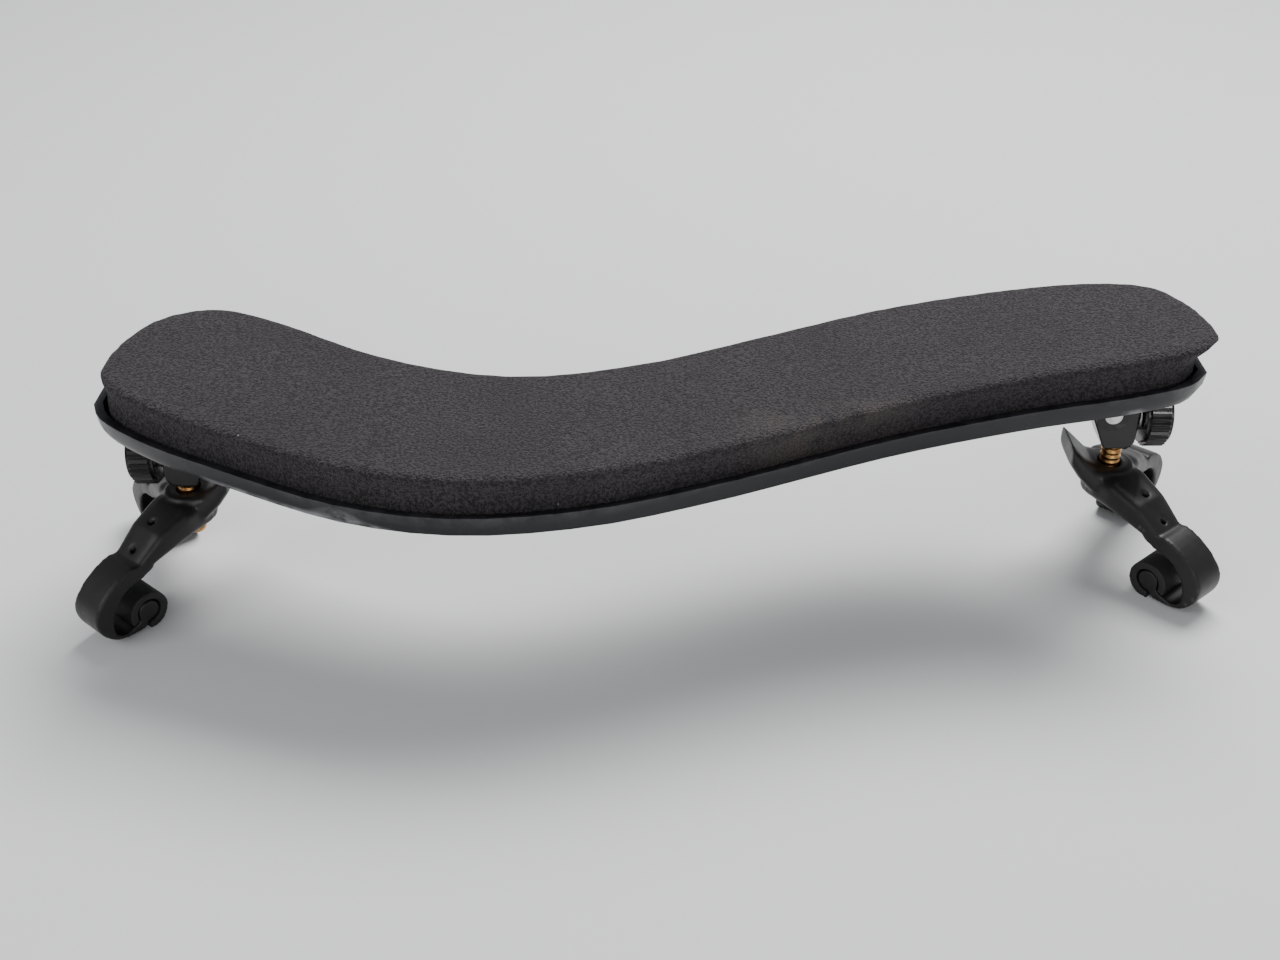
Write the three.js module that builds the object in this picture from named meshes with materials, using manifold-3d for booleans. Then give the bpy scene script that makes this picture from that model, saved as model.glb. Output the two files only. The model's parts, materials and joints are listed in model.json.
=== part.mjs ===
// Violin shoulder rest: a curved moulded tray with a foam pad, carried by two folding, height-adjustable
// feet whose rubber-covered claws grip the edges of a violin.
// Millimetres. X runs along the rest, Y across it, +Z is up. The rest stands on its claws, pad up.
import * as THREE from 'three';
import * as BufferGeometryUtils from 'three/addons/utils/BufferGeometryUtils.js';
import Module from 'manifold-3d';

// ---- bar -------------------------------------------------------------------------------------------
const PAD_TOP = 62;            // height of the pad's top at the lowest part of the bar
const LOW_X = -40;             // where the bar is lowest
const LEFT_RISE = 8;           // how far the left end stands above the lowest part
const RIGHT_RISE = 13;         // how far the right end does
const PAD_LEFT = -121.5;       // the pad's ends, along X
const PAD_RIGHT = 131.5;
const PAD_THICK = 12;
const PAD_PROUD = 8.5;         // how much of the pad stands above the tray's rim
const PAD_OVERHANG = 4;        // how far the pad's top reaches past the tray at the right end
const ADHESIVE_THICK = 0.3;
const TRAY_HEIGHT = 7;         // rim to underside
const TRAY_WALL = 1.5;
const TRAY_TUCK = 7;           // how far the rounded underside draws in below the rim
const STATIONS = 44;           // steps along the bar
const MAX_INSET = 0.4;         // most that an edge draws in where the bar is narrow, as a share of its width
// plan of the pad's two long edges, as x, y
const BACK_EDGE = [
  [-121.5, 22], [-120, 31], [-115, 43], [-104, 51], [-90, 48.5], [-61, 34.5], [-30, 26.5],
  [0, 31], [30, 42], [60, 52], [91, 56], [112, 54.5], [124, 49], [129.5, 38], [131.5, 28],
];
const FRONT_EDGE = [
  [-121.5, 15], [-119, 10], [-108, 3], [-90, -4], [-61, -14.5], [-35, -18], [-8, -15],
  [16, -8], [60, 7], [91, 13], [115, 15], [127, 17.5], [131.5, 22],
];

// ---- feet ------------------------------------------------------------------------------------------
// Each foot has a frame at its hinge pin: x outwards, y along the pin. turn is its angle about Z in degrees
// and front the side of y that faces front.
const FEET = [
  { side: 'left', pin: [-108.5, 30, 41.8], turn: 180, front: 1 },
  { side: 'right', pin: [116, 42, 45], turn: 0, front: -1 },
];
const GAP = 0.3;               // clearance between touching pieces
const PIN_R = 1.5;
const LOBE_R = 4.6;            // rounded top of the pivot block, about the pin
const BLOCK_HALF = 4.6;        // half the block's width along the pin
const BLOCK_DROP = 11;         // pin to the block's lower face
const EAR_THICK = 1.6;
const EAR_R = 4.2;
const SADDLE_THICK = 1.4;
const PLATE_THICK = 1;
const SADDLE_IN = 14;          // how far the saddle reaches inwards from the pin
const SADDLE_OUT = 5;          // and outwards
const SCREW_X = -10;
const SCREW_Y = 4.2;
const SCREW_R = 1.2;
const SCREW_HEAD_R = 2.2;
const SCREW_HEAD_THICK = 0.9;
const SCREW_DEPTH = 2.2;       // thread in the tray's boss
const POST_X = 3.5;            // post's axis, outwards from the pin
const POST_R = 2.6;
const POST_TOP = -2.4;
const POST_END = -26.5;
const BLOCK_OUT = POST_X + POST_R + 1.2;     // the block's outer face
const THREAD_PITCH = 1.5;
const THREAD_DEPTH = 0.3;
const WHEEL_R = 8.2;
const WHEEL_THICK = 6.4;
const WHEEL_DROP = 3.2;        // pin to the wheel's axis
const WHEEL_TEETH = 36;
const KNURL_DEPTH = 0.45;
const STUD_R = 1.6;
const STUD_START = POST_X + POST_R + 0.2;       // the stud's inner tip, against the post
const WASHER_THICK = 0.6;
const WASHER_R = 4.2;

// ---- fork and claws --------------------------------------------------------------------------------
// The fork's frame: u outwards and v along the fork, from the post's axis; w up, from the rolls' centres.
const ROLL_OUT = 12;           // u of the rolls' centres
const CLAW_V = 17.5;           // v of the claws
const ROLL_R = 5.2;            // rubber roll at a claw's tip
const SOLE_DROP = 4.95;        // roll centre to the flat that the rest stands on
const CORE_R = 2.9;            // plastic core inside the roll
const GROOVE = 4.3;            // slot between the roll and the claw, for the violin's edge
const CLAW_TURN = 50;          // how far each claw points away from u, in degrees
const CLAW_WIDTH = 9.8;
const RUBBER_WIDTH = 10.2;
const HUB_TOP = 23;
const HUB_BOTTOM = 14.5;
const HUB_R = 6;
const HOLE_R = 0.8;
// stations of one arm and of the hub's heel: u, v, w, half width, half height
const ARM = [[-1, 0, 18.6, 6.8, 3.9], [3.4, 6.2, 18, 6.8, 3.9], [8, 12.4, 15.6, 5.8, 3.5], [12, 17.5, 12.2, 4.9, 1.9]];
const HEEL = [[2, 0, 18.4, 7, 3.9], [-5, 0, 20.3, 7.2, 3.6], [-9, 0, 24.4, 7.2, 3.4], [-11.5, 0, 27.4, 6.6, 2.8]];
const ARM_HOLES = [[6.8, 10.6], [10.6, 16]];

const rad = THREE.MathUtils.degToRad;
const wasm = await Module();
wasm.setup();

// ---- materials -------------------------------------------------------------------------------------
const finish = (color, roughness, metalness = 0) => () =>
  new THREE.MeshStandardMaterial({ color, roughness, metalness });
const foam = finish(0x2c2829, 0.95);
const glue = finish(0x8d8574, 0.8);
const trayPlastic = finish(0x141519, 0.38);
const legPlastic = finish(0x1b1a1d, 0.55);
const rubber = finish(0x101012, 0.85);
const steel = finish(0xa9abae, 0.35, 1);
const brass = finish(0xb07a3a, 0.4, 1);

// ---- helpers ---------------------------------------------------------------------------------------
function merged(geometry) {
  const bare = geometry.index ? geometry.toNonIndexed() : geometry;
  bare.deleteAttribute('normal');
  bare.deleteAttribute('uv');
  return BufferGeometryUtils.mergeVertices(bare, 1e-4);
}

function solid(geometry) {
  const shape = merged(geometry);
  return new wasm.Manifold(new wasm.Mesh({
    numProp: 3,
    vertProperties: new Float32Array(shape.attributes.position.array),
    triVerts: new Uint32Array(shape.index.array),
  }));
}

function geometryOf(manifold) {
  const mesh = manifold.getMesh();
  const geometry = new THREE.BufferGeometry();
  geometry.setAttribute('position', new THREE.BufferAttribute(new Float32Array(mesh.vertProperties), 3));
  geometry.setIndex(new THREE.BufferAttribute(new Uint32Array(mesh.triVerts), 1));
  geometry.computeVertexNormals();
  return geometry;
}

function named(name, geometry, material) {
  const mesh = new THREE.Mesh(geometry, material());
  mesh.name = name;
  return mesh;
}

// a cylinder from one point to another
function rod(from, to, radius, sides = 24) {
  const start = new THREE.Vector3(...from);
  const line = new THREE.Vector3(...to).sub(start);
  const geometry = new THREE.CylinderGeometry(radius, radius, line.length(), sides);
  const up = new THREE.Vector3(0, 1, 0);
  geometry.applyQuaternion(new THREE.Quaternion().setFromUnitVectors(up, line.clone().normalize()));
  const middle = start.addScaledVector(line, 0.5);
  return geometry.translate(middle.x, middle.y, middle.z);
}

// a box given by its lowest and highest corners
function block(low, high) {
  const geometry = new THREE.BoxGeometry(high[0] - low[0], high[1] - low[1], high[2] - low[2]);
  return geometry.translate((low[0] + high[0]) / 2, (low[1] + high[1]) / 2, (low[2] + high[2]) / 2);
}

// a lathe turned about the Z axis, from radius, height pairs
function lathe(profile, sides = 24) {
  const points = profile.map(([r, z]) => new THREE.Vector2(r, z));
  return new THREE.LatheGeometry(points, sides).rotateX(Math.PI / 2);
}

// an outline in x and z, extruded along y
function extrudeAcross(shape, from, to, curveSegments = 10) {
  const options = { depth: to - from, bevelEnabled: false, curveSegments };
  return new THREE.ExtrudeGeometry(shape, options).rotateX(Math.PI / 2).translate(0, to, 0);
}

// ---- bar -------------------------------------------------------------------------------------------
function edgeCurve(points) {
  return new THREE.CatmullRomCurve3(points.map(([x, y]) => new THREE.Vector3(x, y, 0)), false, 'centripetal');
}
const backCurve = edgeCurve(BACK_EDGE);
const frontCurve = edgeCurve(FRONT_EDGE);

function edgeAt(curve, x) {
  let low = 0;
  let high = 1;
  for (let step = 0; step < 30; step += 1) {
    const middle = (low + high) / 2;
    if (curve.getPoint(middle).x < x) low = middle;
    else high = middle;
  }
  return curve.getPoint(low).y;
}

function padTopAt(x) {
  const left = x < LOW_X;
  const span = left ? LOW_X - PAD_LEFT : PAD_RIGHT - LOW_X;
  return PAD_TOP + (left ? LEFT_RISE : RIGHT_RISE) * ((x - LOW_X) / span) ** 2;
}

// A body that follows the bar. Each level of its side is [margin, drop, cut]: margin grows the outline, drop is
// measured down from the pad's top, and cut shortens the right end. The levels go from the bottom up.
function barBody(levels) {
  const positions = [];
  const count = 2 * levels.length;
  for (let i = 0; i <= STATIONS; i += 1) {
    const along = (1 - Math.cos((Math.PI * i) / STATIONS)) / 2;
    const planX = THREE.MathUtils.lerp(PAD_LEFT, PAD_RIGHT, along);
    const front = edgeAt(frontCurve, planX);
    const back = edgeAt(backCurve, planX);
    const addPoint = (edge, side, [margin, drop, cut = 0]) => {
      const x = THREE.MathUtils.lerp(PAD_LEFT - margin, PAD_RIGHT + margin - cut, along);
      const reach = Math.max(margin, -MAX_INSET * (back - front));
      positions.push(x, edge + side * reach, padTopAt(x) - drop);
    };
    levels.forEach((level) => addPoint(front, -1, level));
    levels.toReversed().forEach((level) => addPoint(back, 1, level));
  }
  const index = [];
  for (let i = 0; i < STATIONS; i += 1) {
    for (let k = 0; k < count; k += 1) {
      const a = i * count + k;
      const b = i * count + ((k + 1) % count);
      index.push(a, a + count, b, b, a + count, b + count);
    }
  }
  // both ends are closed level by level, from the front edge straight across to the back one
  const last = STATIONS * count;
  for (let k = 0; k < levels.length - 1; k += 1) {
    const back = count - 1 - k;
    index.push(k, k + 1, back, k + 1, back - 1, back);
    index.push(last + k, last + back, last + k + 1, last + k + 1, last + back, last + back - 1);
  }
  const geometry = new THREE.BufferGeometry();
  geometry.setAttribute('position', new THREE.Float32BufferAttribute(positions, 3));
  geometry.setIndex(index);
  return geometry;
}

function padGeometry() {
  const cut = PAD_OVERHANG;
  return barBody([
    [-0.2, PAD_THICK, cut],
    [-0.3, PAD_PROUD, cut],
    [-0.8, PAD_PROUD * 0.6, cut * 0.8],
    [0, 1.4],
    [-0.4, 0.4],
    [-1.4, 0],
  ]);
}

const trayInside = PAD_THICK + ADHESIVE_THICK + 2 * GAP;
const trayBottom = PAD_PROUD + TRAY_HEIGHT;

// the feet's own parts, seen in the turned but upright frame of one foot
function placedUpright(geometry, foot) {
  return geometry.rotateZ(rad(foot.turn)).translate(...foot.pin);
}

const plateTop = LOBE_R + GAP + SADDLE_THICK + GAP + PLATE_THICK;
const bossFace = plateTop + GAP;

function screwSpots() {
  return [-SCREW_Y, SCREW_Y].map((y) => [SCREW_X, y]);
}

function trayGeometry() {
  const cut = PAD_OVERHANG;
  const outer = TRAY_WALL + 0.5;
  let tray = solid(barBody([
    [-TRAY_TUCK, trayBottom, cut],
    [-TRAY_TUCK * 0.35, trayBottom - 0.5, cut],
    [outer - 1, trayBottom - 1.9, cut],
    [outer - 0.3, trayBottom - 3.8, cut],
    [outer, PAD_PROUD, cut],
  ]));
  for (const foot of FEET) {
    const boss = block([-SADDLE_IN - 2, -9, bossFace], [SADDLE_OUT + 1, 9, bossFace + 7]);
    tray = tray.add(solid(placedUpright(boss, foot)));
  }
  tray = tray.subtract(solid(barBody([
    [0.3, trayInside, cut],
    [0.5, PAD_PROUD - 3, cut],
  ])));
  for (const foot of FEET) {
    for (const [x, y] of screwSpots()) {
      const hole = rod([x, y, bossFace - 1], [x, y, bossFace + SCREW_DEPTH + GAP], SCREW_R + GAP, 16);
      tray = tray.subtract(solid(placedUpright(hole, foot)));
    }
  }
  return geometryOf(tray);
}

function adhesiveGeometry() {
  const top = PAD_THICK + GAP;
  return barBody([
    [-2, top + ADHESIVE_THICK, PAD_OVERHANG],
    [-2, top, PAD_OVERHANG],
  ]);
}

// ---- fixed parts of a foot -------------------------------------------------------------------------
function plateGeometry() {
  const low = plateTop - PLATE_THICK;
  let plate = solid(block([-SADDLE_IN - 1.2, -8.2, low], [SADDLE_OUT, 8.2, plateTop]));
  for (const [x, y] of screwSpots()) {
    plate = plate.subtract(solid(rod([x, y, low - 1], [x, y, plateTop + 1], SCREW_R + GAP, 16)));
  }
  return geometryOf(plate);
}

function saddleGeometry() {
  const low = LOBE_R + GAP;
  const high = low + SADDLE_THICK;
  const earIn = BLOCK_HALF + GAP;
  const earOut = earIn + EAR_THICK;
  const half = earOut + 0.5;
  let saddle = solid(block([-SADDLE_IN, -half, low], [SADDLE_OUT, half, high]));
  const outline = new THREE.Shape();
  outline.moveTo(EAR_R, low + 0.8);
  outline.lineTo(-EAR_R, low + 0.8);
  outline.absarc(0, 0, EAR_R, Math.PI, 2 * Math.PI, false);
  for (const [from, to] of [[earIn, earOut], [-earOut, -earIn]]) {
    saddle = saddle.add(solid(extrudeAcross(outline, from, to, 12)));
  }
  saddle = saddle.subtract(solid(rod([0, -earOut - 1, 0], [0, earOut + 1, 0], PIN_R + GAP, 20)));
  for (const [x, y] of screwSpots()) {
    saddle = saddle.subtract(solid(rod([x, y, low - 1], [x, y, high + 1], SCREW_R + GAP, 16)));
    const counterbore = rod([x, y, low - 1], [x, y, low + SCREW_HEAD_THICK + 0.2], SCREW_HEAD_R + GAP, 20);
    saddle = saddle.subtract(solid(counterbore));
  }
  return geometryOf(saddle);
}

function screwGeometry([x, y]) {
  const headLow = LOBE_R + GAP;
  const tip = bossFace + SCREW_DEPTH;
  let screw = solid(rod([x, y, headLow + 0.5], [x, y, tip], SCREW_R, 14));
  screw = screw.add(solid(rod([x, y, headLow], [x, y, headLow + SCREW_HEAD_THICK - 0.1], SCREW_HEAD_R, 20)));
  for (const turn of [0, 90]) {
    const slot = block([-1.5, -0.3, headLow - 0.5], [1.5, 0.3, headLow + 0.5]);
    screw = screw.subtract(solid(slot.rotateZ(rad(turn)).translate(x, y, 0)));
  }
  return geometryOf(screw);
}

function pinGeometry() {
  const half = BLOCK_HALF + GAP + EAR_THICK;
  return lathe([
    [0, -half - 0.5], [PIN_R + 0.7, -half - 0.5], [PIN_R + 0.7, -half - GAP], [PIN_R, -half - GAP],
    [PIN_R, half + GAP], [PIN_R + 0.7, half + GAP], [PIN_R + 0.7, half + 0.5], [0, half + 0.5],
  ], 20).rotateX(-Math.PI / 2);
}

// ---- moving parts of a foot ------------------------------------------------------------------------
function blockGeometry() {
  const outline = new THREE.Shape();
  outline.moveTo(BLOCK_OUT, -BLOCK_DROP + 3);
  outline.lineTo(BLOCK_OUT, 0);
  outline.quadraticCurveTo(BLOCK_OUT, 3.6, LOBE_R - 1, 3.6);
  outline.lineTo(LOBE_R * Math.cos(rad(60)), LOBE_R * Math.sin(rad(60)));
  outline.absarc(0, 0, LOBE_R, rad(60), rad(200), false);
  outline.lineTo(POST_X - POST_R - 1.6, -BLOCK_DROP + 1);
  outline.quadraticCurveTo(POST_X - POST_R - 1.4, -BLOCK_DROP, POST_X - POST_R, -BLOCK_DROP);
  outline.lineTo(BLOCK_OUT - 3, -BLOCK_DROP);
  outline.quadraticCurveTo(BLOCK_OUT, -BLOCK_DROP, BLOCK_OUT, -BLOCK_DROP + 3);
  let body = solid(extrudeAcross(outline, -BLOCK_HALF, BLOCK_HALF, 10));
  body = body.subtract(solid(rod([0, -9, 0], [0, 9, 0], PIN_R + GAP, 20)));
  body = body.subtract(solid(rod([POST_X, 0, -12], [POST_X, 0, POST_TOP + GAP], POST_R + GAP, 24)));
  body = body.subtract(solid(rod([POST_X, 0, -WHEEL_DROP], [9, 0, -WHEEL_DROP], STUD_R + GAP, 20)));
  return geometryOf(body);
}

function postGeometry() {
  const profile = [[0, POST_TOP], [POST_R - THREAD_DEPTH, POST_TOP]];
  for (let z = POST_TOP; z > POST_END + THREAD_PITCH; z -= THREAD_PITCH) {
    profile.push([POST_R - THREAD_DEPTH, z], [POST_R, z - THREAD_PITCH / 2]);
  }
  profile.push([POST_R - THREAD_DEPTH, POST_END], [0, POST_END]);
  const steps = profile.reverse().filter(([r, z], i, all) => !i || r !== all[i - 1][0] || z !== all[i - 1][1]);
  return lathe(steps, 16).translate(POST_X, 0, 0);
}

function wheelSpan() {
  const start = BLOCK_OUT + GAP + WASHER_THICK + GAP;
  return [start, start + WHEEL_THICK];
}

function washerGeometry() {
  const x = BLOCK_OUT + GAP;
  const ring = solid(rod([x, 0, 0], [x + WASHER_THICK, 0, 0], WASHER_R, 28));
  const hole = solid(rod([x - 1, 0, 0], [x + 2, 0, 0], STUD_R + GAP, 20));
  return geometryOf(ring.subtract(hole)).translate(0, 0, -WHEEL_DROP);
}

function wheelGeometry() {
  const [start, end] = wheelSpan();
  const outline = new THREE.Shape();
  for (let i = 0; i < 2 * WHEEL_TEETH; i += 1) {
    const angle = (Math.PI * i) / WHEEL_TEETH;
    const r = i % 2 ? WHEEL_R - KNURL_DEPTH : WHEEL_R;
    if (i === 0) outline.moveTo(r, 0);
    else outline.lineTo(r * Math.cos(angle), r * Math.sin(angle));
  }
  const rim = new THREE.ExtrudeGeometry(outline, { depth: WHEEL_THICK - 1.6, bevelEnabled: false });
  let wheel = solid(rim.rotateY(Math.PI / 2).translate(start + 0.8, 0, 0));
  wheel = wheel.add(solid(rod([start, 0, 0], [end, 0, 0], WHEEL_R - 1, 36)));
  wheel = wheel.subtract(solid(rod([end - 1.2, 0, 0], [end + 1, 0, 0], WHEEL_R - 2.6, 32)));
  wheel = wheel.add(solid(rod([end - 2, 0, 0], [end - 0.4, 0, 0], 3.6, 28)));
  wheel = wheel.subtract(solid(rod([start - 1, 0, 0], [end + 1, 0, 0], STUD_R + GAP, 20)));
  return geometryOf(wheel).translate(0, 0, -WHEEL_DROP);
}

function studGeometry() {
  const end = wheelSpan()[1] - 0.2;
  return rod([STUD_START, 0, -WHEEL_DROP], [end, 0, -WHEEL_DROP], STUD_R, 20);
}

// ---- fork ------------------------------------------------------------------------------------------
// A bar with rounded corners through a row of stations, its width square to its course in plan.
function limb(stations, side = 1) {
  const positions = [];
  const corners = 12;
  stations.forEach(([u, v, w, halfWidth, halfHeight], i) => {
    const before = stations[Math.max(i - 1, 0)];
    const after = stations[Math.min(i + 1, stations.length - 1)];
    const course = new THREE.Vector2(after[0] - before[0], side * (after[1] - before[1])).normalize();
    for (let k = 0; k < corners; k += 1) {
      const angle = (2 * Math.PI * (k + 0.5)) / corners;
      const round = (value) => Math.sign(value) * Math.abs(value) ** 0.45;
      const across = halfWidth * round(Math.cos(angle));
      const rise = halfHeight * round(Math.sin(angle));
      positions.push(u - course.y * across, side * v + course.x * across, w + rise);
    }
  });
  const index = [];
  for (let i = 0; i < stations.length - 1; i += 1) {
    for (let k = 0; k < corners; k += 1) {
      const a = i * corners + k;
      const b = i * corners + ((k + 1) % corners);
      index.push(a, b, a + corners, b, b + corners, a + corners);
    }
  }
  const last = (stations.length - 1) * corners;
  for (let k = 1; k < corners - 1; k += 1) index.push(0, k + 1, k, last, last + k, last + k + 1);
  const geometry = new THREE.BufferGeometry();
  geometry.setAttribute('position', new THREE.Float32BufferAttribute(positions, 3));
  geometry.setIndex(index);
  return geometry;
}

// The hard part of one claw, about its roll's centre: from the arm down past the mouth, round the groove and
// the neck to the core of the roll, then back outside the neck and over the nose.
function clawShape() {
  const inside = ROLL_R + GROOVE;
  const shape = new THREE.Shape();
  shape.moveTo(-4, 12.6);
  shape.lineTo(-3.7, 11);
  shape.quadraticCurveTo(-1.3, 9.9, inside * Math.cos(rad(88)), inside * Math.sin(rad(88)));
  shape.absarc(0, 0, inside, rad(88), rad(-8), true);
  shape.quadraticCurveTo(8.6, -3.1, 6.2, -3);
  shape.lineTo(CORE_R * Math.cos(rad(-35)), CORE_R * Math.sin(rad(-35)));
  shape.absarc(0, 0, CORE_R, rad(-35), rad(-75), false);
  shape.lineTo(1.3, -4.4);
  shape.quadraticCurveTo(4.5, -4.6, 7.4, -4.1);
  shape.bezierCurveTo(11.2, -3.6, 13.8, 0.5, 13.8, 4);
  shape.bezierCurveTo(13.8, 7.6, 8.4, 12.6, 2, 14);
  return shape;
}

function atClaw(geometry, side) {
  return geometry.rotateZ(side * rad(CLAW_TURN)).translate(ROLL_OUT, side * CLAW_V, 0);
}

function forkGeometry() {
  let fork = solid(rod([0, 0, HUB_BOTTOM], [0, 0, HUB_TOP], HUB_R, 28)).add(solid(limb(HEEL)));
  for (const side of [-1, 1]) {
    const claw = extrudeAcross(clawShape(), -CLAW_WIDTH / 2, CLAW_WIDTH / 2, 10);
    fork = fork.add(solid(limb(ARM, side))).add(solid(atClaw(claw, side)));
    for (const [u, v] of ARM_HOLES) {
      fork = fork.subtract(solid(rod([u, side * v, HUB_BOTTOM - 8], [u, side * v, HUB_TOP], HOLE_R, 12)));
    }
  }
  return geometryOf(fork.subtract(solid(rod([0, 0, 0], [0, 0, HUB_TOP + 5], POST_R + GAP, 24))));
}

// The rubber round a claw's core: a thick sleeve with a slot for the claw's neck and a flat sole.
function rubberGeometry(side) {
  const inner = CORE_R + GAP;
  const shape = new THREE.Shape();
  shape.absarc(0, 0, ROLL_R, rad(-22), rad(-82), false);
  shape.lineTo(inner * Math.cos(rad(-84)), inner * Math.sin(rad(-84)));
  shape.absarc(0, 0, inner, rad(-84), rad(-25), true);
  const sleeve = solid(extrudeAcross(shape, -RUBBER_WIDTH / 2, RUBBER_WIDTH / 2, 26));
  const below = block([-12, -12, -20], [12, 12, -SOLE_DROP]);
  return atClaw(geometryOf(sleeve.subtract(solid(below))), side);
}

// ---- assembly --------------------------------------------------------------------------------------
function footGroup(foot) {
  const upright = new THREE.Group();
  upright.position.set(...foot.pin);
  upright.rotation.z = rad(foot.turn);
  const fork = new THREE.Group();
  fork.position.set(POST_X, 0, SOLE_DROP - foot.pin[2]);
  const name = (piece) => `${foot.side}_${piece}`;
  const [first, second] = screwSpots();
  const front = foot.front < 0 ? first : second;
  const back = foot.front < 0 ? second : first;
  upright.add(
    named(name('base_plate'), plateGeometry(), steel),
    named(name('saddle'), saddleGeometry(), legPlastic),
    named(name('screw_front'), screwGeometry(front), steel),
    named(name('screw_back'), screwGeometry(back), steel),
    named(name('hinge_pin'), pinGeometry(), steel),
    named(name('pivot_block'), blockGeometry(), legPlastic),
    named(name('height_post'), postGeometry(), brass),
    named(name('washer'), washerGeometry(), steel),
    named(name('thumbwheel'), wheelGeometry(), legPlastic),
    named(name('wheel_stud'), studGeometry(), brass),
    fork,
  );
  fork.add(
    named(name('fork'), forkGeometry(), legPlastic),
    named(name('rubber_front'), rubberGeometry(foot.front), rubber),
    named(name('rubber_back'), rubberGeometry(-foot.front), rubber),
  );
  return upright;
}

const rest = new THREE.Group();
rest.add(
  named('foam_pad', padGeometry(), foam),
  named('pad_adhesive', adhesiveGeometry(), glue),
  named('tray', trayGeometry(), trayPlastic),
  ...FEET.map(footGroup),
);

// the origin is under the middle of the rest's box, on the surface that it stands on
const bounds = new THREE.Box3().setFromObject(rest, true);
const centre = bounds.getCenter(new THREE.Vector3());
rest.position.set(-centre.x, -centre.y, -bounds.min.z);

const group = new THREE.Group();
group.add(rest);
export default group;
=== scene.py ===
"""A violin shoulder rest: foam pad on a moulded tray, with two folding feet whose claws hold the violin."""
import json
import math

import bmesh
import bpy
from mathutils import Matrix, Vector


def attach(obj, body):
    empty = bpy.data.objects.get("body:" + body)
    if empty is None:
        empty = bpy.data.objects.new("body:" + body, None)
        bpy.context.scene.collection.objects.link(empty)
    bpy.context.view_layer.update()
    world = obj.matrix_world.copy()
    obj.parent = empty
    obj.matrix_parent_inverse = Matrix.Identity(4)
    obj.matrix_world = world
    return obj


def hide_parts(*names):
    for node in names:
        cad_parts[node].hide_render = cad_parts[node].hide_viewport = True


MM = 0.001
SHARP = math.radians(35)       # edges over this angle stay sharp
FLAT = math.radians(0.5)       # faces within this angle join before bevelling
WELD = 0.002 * MM              # vertices nearer than this are one
CAMERA_AT = (-3.75 * MM, -304.3 * MM, 237.3 * MM)
CAMERA_TO = (-3.75 * MM, -26.6 * MM, 50 * MM)
LENS = 42.19
BEVEL_STEPS = 2
# slot: bevel width
BEVELS = {"tray_plastic": 0.45 * MM, "leg_plastic": 0.3 * MM, "steel": 0.15 * MM, "brass": 0.12 * MM,
          "claw_rubber": 0.4 * MM, "adhesive": 0}
# piece: voxel size and smoothing steps of the moulded pieces
MOULDED = {"fork": (0.4 * MM, 16), "pivot_block": (0.3 * MM, 6), "rubber_front": (0.32 * MM, 5),
           "rubber_back": (0.32 * MM, 5)}
FOAM_VOXEL = 0.7 * MM
FOAM_SMOOTHING = 3
# where the pad's front edge is worn and carries a painted sheen, and where its side strip is butted
# together: along and across the pad
WEAR_AND_SHEEN = ((28 * MM, 76 * MM), (-52 * MM, -22 * MM))
BUTT = ((-61.9 * MM, -61.6 * MM), (-63 * MM, -23 * MM))
FLOOR_REACH = 12.0
# name, place, size, watts
LIGHTS = (("key", (0.25, 0.45, 0.95), (0.7, 0.5), 17),
          ("fill", (-0.9, -0.5, 0.8), (0.7, 0.7), 5),
          ("front", (0.3, -1.1, 0.5), (0.8, 0.35), 3.5))
LIT = (0, 0, 0.04)             # the point that the lights face
SKY_STRENGTH = 0.35

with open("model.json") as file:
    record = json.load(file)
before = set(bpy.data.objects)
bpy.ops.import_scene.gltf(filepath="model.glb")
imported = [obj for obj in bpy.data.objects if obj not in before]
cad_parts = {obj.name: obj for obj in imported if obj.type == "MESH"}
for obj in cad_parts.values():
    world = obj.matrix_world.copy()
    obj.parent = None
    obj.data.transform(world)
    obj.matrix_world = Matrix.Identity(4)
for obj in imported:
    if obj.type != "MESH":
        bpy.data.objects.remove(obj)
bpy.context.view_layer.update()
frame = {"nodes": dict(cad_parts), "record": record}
record = frame["record"]
body_of_node = {n: body for body, nodes in record["behaviour"]["bodies"].items() for n in nodes}
slot_of_node = {part["node"]: part["material_slot"] for part in record["subparts"]}


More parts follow.
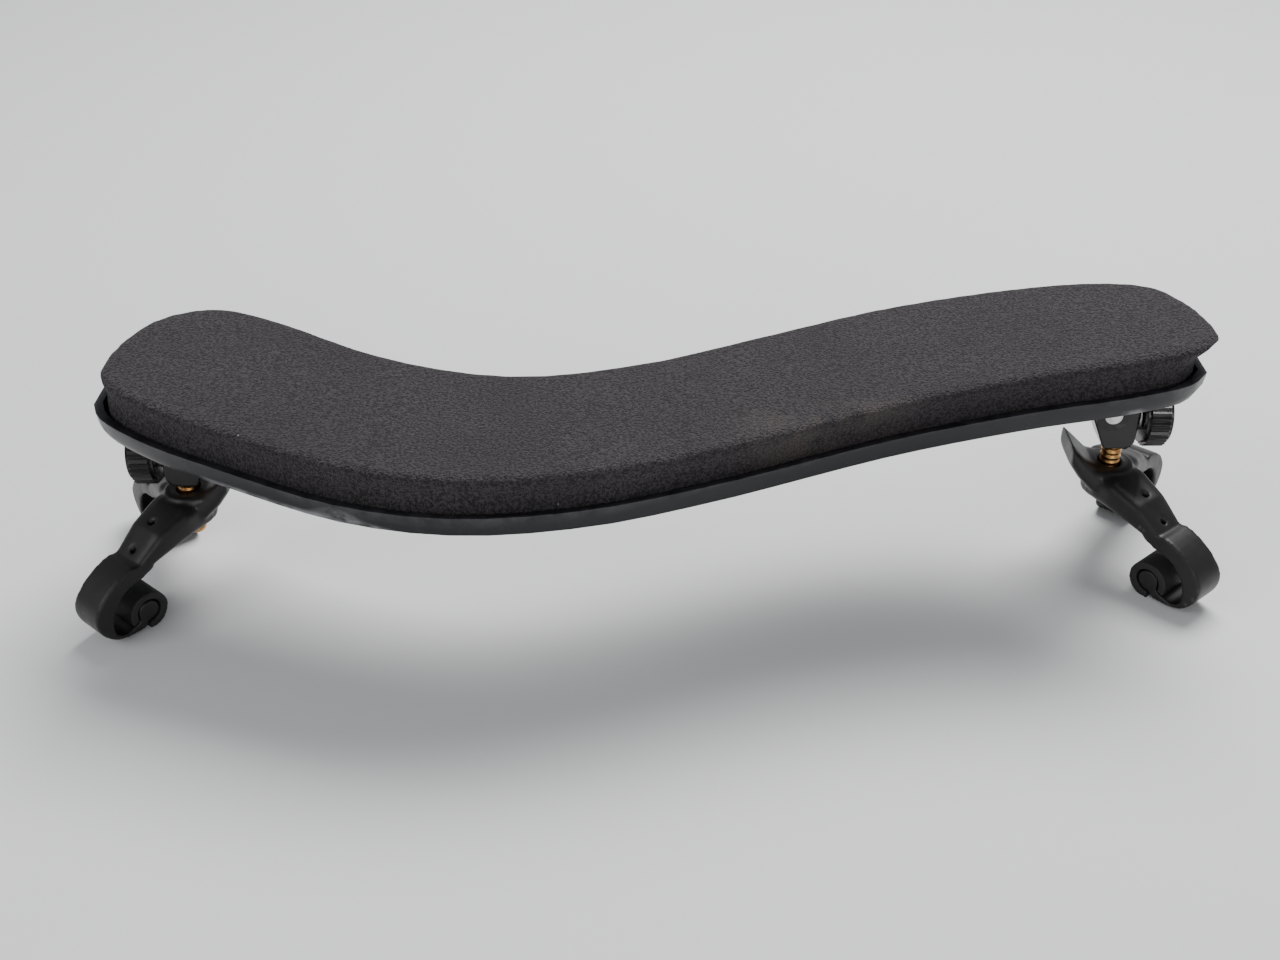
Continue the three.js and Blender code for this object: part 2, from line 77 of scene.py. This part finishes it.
# ---- materials -------------------------------------------------------------------------------------
class Shader:
    """A material's node tree with short ways to add nodes."""

    def __init__(self, name):
        self.material = bpy.data.materials.new(name)
        self.material.use_nodes = True
        self.tree = self.material.node_tree
        self.surface = self.tree.nodes["Principled BSDF"]
        self.here = self.add("ShaderNodeTexCoord").outputs["Object"]

    def add(self, kind, inputs=None, **settings):
        node = self.tree.nodes.new(kind)
        for key, value in settings.items():
            setattr(node, key, value)
        for key, value in (inputs or {}).items():
            self.put(node.inputs[key], value)
        return node

    def put(self, socket, value):
        if isinstance(value, bpy.types.NodeSocket):
            self.tree.links.new(value, socket)
        else:
            socket.default_value = value

    def set(self, **values):
        for key, value in values.items():
            self.put(self.surface.inputs[key.replace("_", " ")], value)

    def noise(self, per_mm, detail=3, roughness=0.55):
        inputs = {"Vector": self.here, "Scale": per_mm / MM, "Detail": detail, "Roughness": roughness}
        return self.add("ShaderNodeTexNoise", inputs).outputs[0]

    def ramp(self, value, low, high, to_low=0.0, to_high=1.0):
        inputs = {"Value": value, "From Min": low, "From Max": high, "To Min": to_low, "To Max": to_high}
        return self.add("ShaderNodeMapRange", inputs).outputs["Result"]

    def math(self, operation, a, b=0.0):
        node = self.add("ShaderNodeMath", operation=operation)
        self.put(node.inputs[0], a)
        self.put(node.inputs[1], b)
        return node.outputs[0]

    def mix(self, share, a, b):
        node = self.add("ShaderNodeMix", data_type="RGBA")
        self.put(node.inputs[0], share)
        self.put(node.inputs[6], a)
        self.put(node.inputs[7], b)
        return node.outputs[2]

    def bump(self, height, strength, distance):
        inputs = {"Height": height, "Strength": strength, "Distance": distance}
        return self.add("ShaderNodeBump", inputs).outputs["Normal"]

    def band(self, low, high, soft, axis=0):
        """1 between low and high along an axis, fading over soft."""
        along = self.add("ShaderNodeSeparateXYZ", {"Vector": self.here}).outputs[axis]
        rise = self.ramp(along, low - soft, low + soft)
        return self.math("MULTIPLY", rise, self.ramp(along, high - soft, high + soft, 1, 0))

    def edges(self, low, high):
        """1 on convex edges, from how far the surface points away from its neighbours."""
        return self.ramp(self.add("ShaderNodeNewGeometry").outputs["Pointiness"], low, high)


def colour(r, g, b):
    return (r, g, b, 1)


def foam_material():
    s = Shader("foam_grain")
    coarse = s.noise(1.45, 3, 0.65)
    pores = s.add("ShaderNodeTexVoronoi", {"Vector": s.here, "Scale": 1.9 / MM}).outputs["Distance"]
    patches = s.noise(0.035, 4, 0.6)
    tone = s.mix(s.ramp(patches, 0.3, 0.7), colour(0.031, 0.025, 0.029), colour(0.047, 0.039, 0.043))
    tone = s.mix(s.ramp(coarse, 0.43, 0.57, 0, 0.95), tone, colour(0.006, 0.005, 0.006))
    # the front edge has been rubbed smooth over a stretch; its lighter brownish colour there is partly wear
    # and partly a painted sheen
    wear_and_sheen = s.math("MULTIPLY", s.band(*WEAR_AND_SHEEN[0], 14 * MM), s.band(*WEAR_AND_SHEEN[1], 5 * MM, 1))
    wear_and_sheen = s.math("MULTIPLY", wear_and_sheen, s.ramp(s.noise(0.12, 4), 0.35, 0.6))
    tone = s.mix(s.math("MULTIPLY", wear_and_sheen, 0.7), tone, colour(0.080, 0.058, 0.050))
    speck = s.add("ShaderNodeTexVoronoi", {"Vector": s.here, "Scale": 0.09 / MM}).outputs["Distance"]
    speck = s.math("ADD", speck, s.math("MULTIPLY", s.noise(2.5, 2), 0.03))
    dust = s.ramp(speck, 0.03, 0.042, 1, 0)
    tone = s.mix(s.math("MULTIPLY", dust, 0.5), tone, colour(0.36, 0.34, 0.32))
    # the strip round the pad's side is butted together at one place in front
    butt = s.math("MULTIPLY", s.band(*BUTT[0], 0.2 * MM), s.band(*BUTT[1], MM, 1))
    tone = s.mix(s.math("MULTIPLY", butt, 0.7), tone, colour(0.006, 0.005, 0.005))
    grain = s.math("ADD", s.math("MULTIPLY", coarse, 1.2), s.math("MULTIPLY", pores, 0.8))
    s.set(Base_Color=tone, Roughness=s.math("SUBTRACT", 0.84, s.math("MULTIPLY", wear_and_sheen, 0.38)))
    s.set(Normal=s.bump(grain, 1.0, 0.55 * MM), Specular_IOR_Level=0.4, Sheen_Weight=0.05)
    return s.material


def tray_material():
    s = Shader("satin_black")
    scuffs = s.ramp(s.noise(0.35, 6, 0.7), 0.56, 0.74)
    # convex edges made lighter: partly edge wear, partly a painted highlight along the rim's lip
    edge = s.math("MULTIPLY", s.edges(0.53, 0.6), s.ramp(s.noise(0.25, 4), 0.35, 0.6))
    tone = s.mix(s.math("MULTIPLY", edge, 0.75), colour(0.007, 0.007, 0.009), colour(0.26, 0.26, 0.27))
    tone = s.mix(s.math("MULTIPLY", scuffs, 0.12), tone, colour(0.09, 0.09, 0.09))
    s.set(Base_Color=tone, Roughness=s.ramp(s.noise(0.08, 4), 0.3, 0.7, 0.27, 0.38))
    s.set(Normal=s.bump(s.noise(2.2, 2), 0.12, 0.05 * MM), Specular_IOR_Level=0.36)
    return s.material


def leg_material(name, rough_low, rough_high):
    s = Shader(name)
    edge = s.math("MULTIPLY", s.edges(0.53, 0.62), s.ramp(s.noise(0.4, 4), 0.3, 0.65))
    tone = s.mix(s.math("MULTIPLY", edge, 0.45), colour(0.012, 0.0105, 0.0105), colour(0.11, 0.10, 0.09))
    tone = s.mix(s.ramp(s.noise(0.9, 5, 0.7), 0.64, 0.76, 0, 0.3), tone, colour(0.12, 0.12, 0.12))
    s.set(Base_Color=tone, Roughness=s.ramp(s.noise(0.3, 4), 0.3, 0.7, rough_low, rough_high))
    s.set(Normal=s.bump(s.noise(3.2, 2), 0.3, 0.07 * MM), Specular_IOR_Level=0.38)
    return s.material


def rubber_material():
    s = Shader("claw_rubber_black")
    s.set(Base_Color=s.mix(s.noise(0.5, 4), colour(0.012, 0.012, 0.013), colour(0.026, 0.025, 0.025)))
    s.set(Roughness=s.ramp(s.noise(0.6, 4), 0.3, 0.7, 0.5, 0.66), Specular_IOR_Level=0.3)
    s.set(Normal=s.bump(s.noise(2.4, 3), 0.25, 0.06 * MM))
    return s.material


def metal_material(name, dark, light, rough_low, rough_high):
    s = Shader(name)
    s.set(Base_Color=s.mix(s.ramp(s.noise(0.5, 5, 0.65), 0.35, 0.65), dark, light), Metallic=1.0)
    s.set(Roughness=s.ramp(s.noise(0.9, 4), 0.3, 0.7, rough_low, rough_high))
    s.set(Normal=s.bump(s.noise(2.5, 3), 0.12, 0.04 * MM))
    return s.material


def adhesive_material():
    s = Shader("adhesive_sheet")
    s.set(Base_Color=s.mix(s.noise(0.3, 3), colour(0.26, 0.24, 0.19), colour(0.36, 0.33, 0.27)))
    s.set(Roughness=0.7)
    return s.material


def floor_material():
    s = Shader("pale_floor")
    s.set(Base_Color=colour(0.72, 0.72, 0.72), Roughness=0.85)
    return s.material


materials = {
    "foam": foam_material(),
    "tray_plastic": tray_material(),
    "leg_plastic": leg_material("leg_black", 0.36, 0.48),
    "claw_rubber": rubber_material(),
    "steel": metal_material("plated_steel", colour(0.42, 0.42, 0.42), colour(0.66, 0.65, 0.63), 0.24, 0.4),
    "brass": metal_material("brown_brass", colour(0.34, 0.15, 0.05), colour(0.72, 0.42, 0.16), 0.25, 0.42),
    "adhesive": adhesive_material(),
}
glossy_leg = leg_material("leg_gloss", 0.16, 0.24)
GLOSSY = ("pivot_block", "thumbwheel")


# ---- pieces ----------------------------------------------------------------------------------------
def refined(node, ending):
    """A welded copy of a CAD node in its place, with flat faces joined and sharp edges marked."""
    mesh = bpy.data.meshes.new(f"{node}_{ending}")
    shape = bmesh.new()
    shape.from_mesh(frame["nodes"][node].data)
    bmesh.ops.remove_doubles(shape, verts=shape.verts, dist=WELD)
    bmesh.ops.dissolve_limit(shape, angle_limit=FLAT, verts=shape.verts, edges=shape.edges)
    for face in shape.faces:
        face.smooth = True
    for edge in shape.edges:
        edge.smooth = edge.calc_face_angle(0) < SHARP
    shape.to_mesh(mesh)
    shape.free()
    if "custom_normal" in mesh.attributes:
        mesh.attributes.remove(mesh.attributes["custom_normal"])
    piece = bpy.data.objects.new(mesh.name, mesh)
    bpy.context.scene.collection.objects.link(piece)
    return piece


def place(piece, node, material):
    piece.data.materials.clear()
    piece.data.materials.append(material)
    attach(piece, body_of_node[node])
    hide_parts(node)


def moulded(piece, voxel, steps):
    """Rounds every edge a little, as a moulding's are."""
    remesh = piece.modifiers.new("remesh", "REMESH")
    remesh.mode = "VOXEL"
    remesh.voxel_size = voxel
    remesh.use_smooth_shade = True
    smooth = piece.modifiers.new("smooth", "SMOOTH")
    smooth.factor = 0.5
    smooth.iterations = steps


def bevelled(piece, width):
    bevel = piece.modifiers.new("bevel", "BEVEL")
    bevel.width = width
    bevel.segments = BEVEL_STEPS
    bevel.limit_method = "ANGLE"
    bevel.angle_limit = SHARP


pad = refined("foam_pad", "cushion")
moulded(pad, FOAM_VOXEL, FOAM_SMOOTHING)
place(pad, "foam_pad", materials["foam"])

for node, slot in slot_of_node.items():
    if node == "foam_pad":
        continue
    kind = node.split("_", 1)[1] if node.startswith(("left_", "right_")) else node
    piece = refined(node, "finished")
    if kind in MOULDED:
        moulded(piece, *MOULDED[kind])
    elif BEVELS[slot]:
        bevelled(piece, BEVELS[slot])
    place(piece, node, glossy_leg if kind in GLOSSY else materials[slot])


# ---- floor, light and camera -----------------------------------------------------------------------
floor_mesh = bpy.data.meshes.new("floor")
corners = [(x * FLOOR_REACH, y * FLOOR_REACH, 0) for x, y in ((-1, -1), (1, -1), (1, 1), (-1, 1))]
floor_mesh.from_pydata(corners, [], [(0, 1, 2, 3)])
floor = bpy.data.objects.new("floor", floor_mesh)
bpy.context.scene.collection.objects.link(floor)
floor_mesh.materials.append(floor_material())


def aim(thing, at):
    thing.rotation_mode = "QUATERNION"
    thing.rotation_quaternion = (Vector(at) - thing.location).to_track_quat("-Z", "Y")


def soft_light(name, where, size, watts):
    data = bpy.data.lights.new(name, "AREA")
    data.shape = "RECTANGLE"
    data.size, data.size_y = size
    data.energy = watts
    lamp = bpy.data.objects.new(name, data)
    lamp.location = where
    bpy.context.scene.collection.objects.link(lamp)
    aim(lamp, LIT)


for light in LIGHTS:
    soft_light(*light)
world = bpy.data.worlds.new("studio")
world.use_nodes = True
world.node_tree.nodes["Background"].inputs["Color"].default_value = colour(0.80, 0.83, 0.88)
world.node_tree.nodes["Background"].inputs["Strength"].default_value = SKY_STRENGTH
bpy.context.scene.world = world

camera = bpy.data.objects.new("camera", bpy.data.cameras.new("camera"))
camera.data.lens = LENS
camera.data.clip_start = 0.01
camera.location = CAMERA_AT
bpy.context.scene.collection.objects.link(camera)
aim(camera, CAMERA_TO)
bpy.context.scene.camera = camera
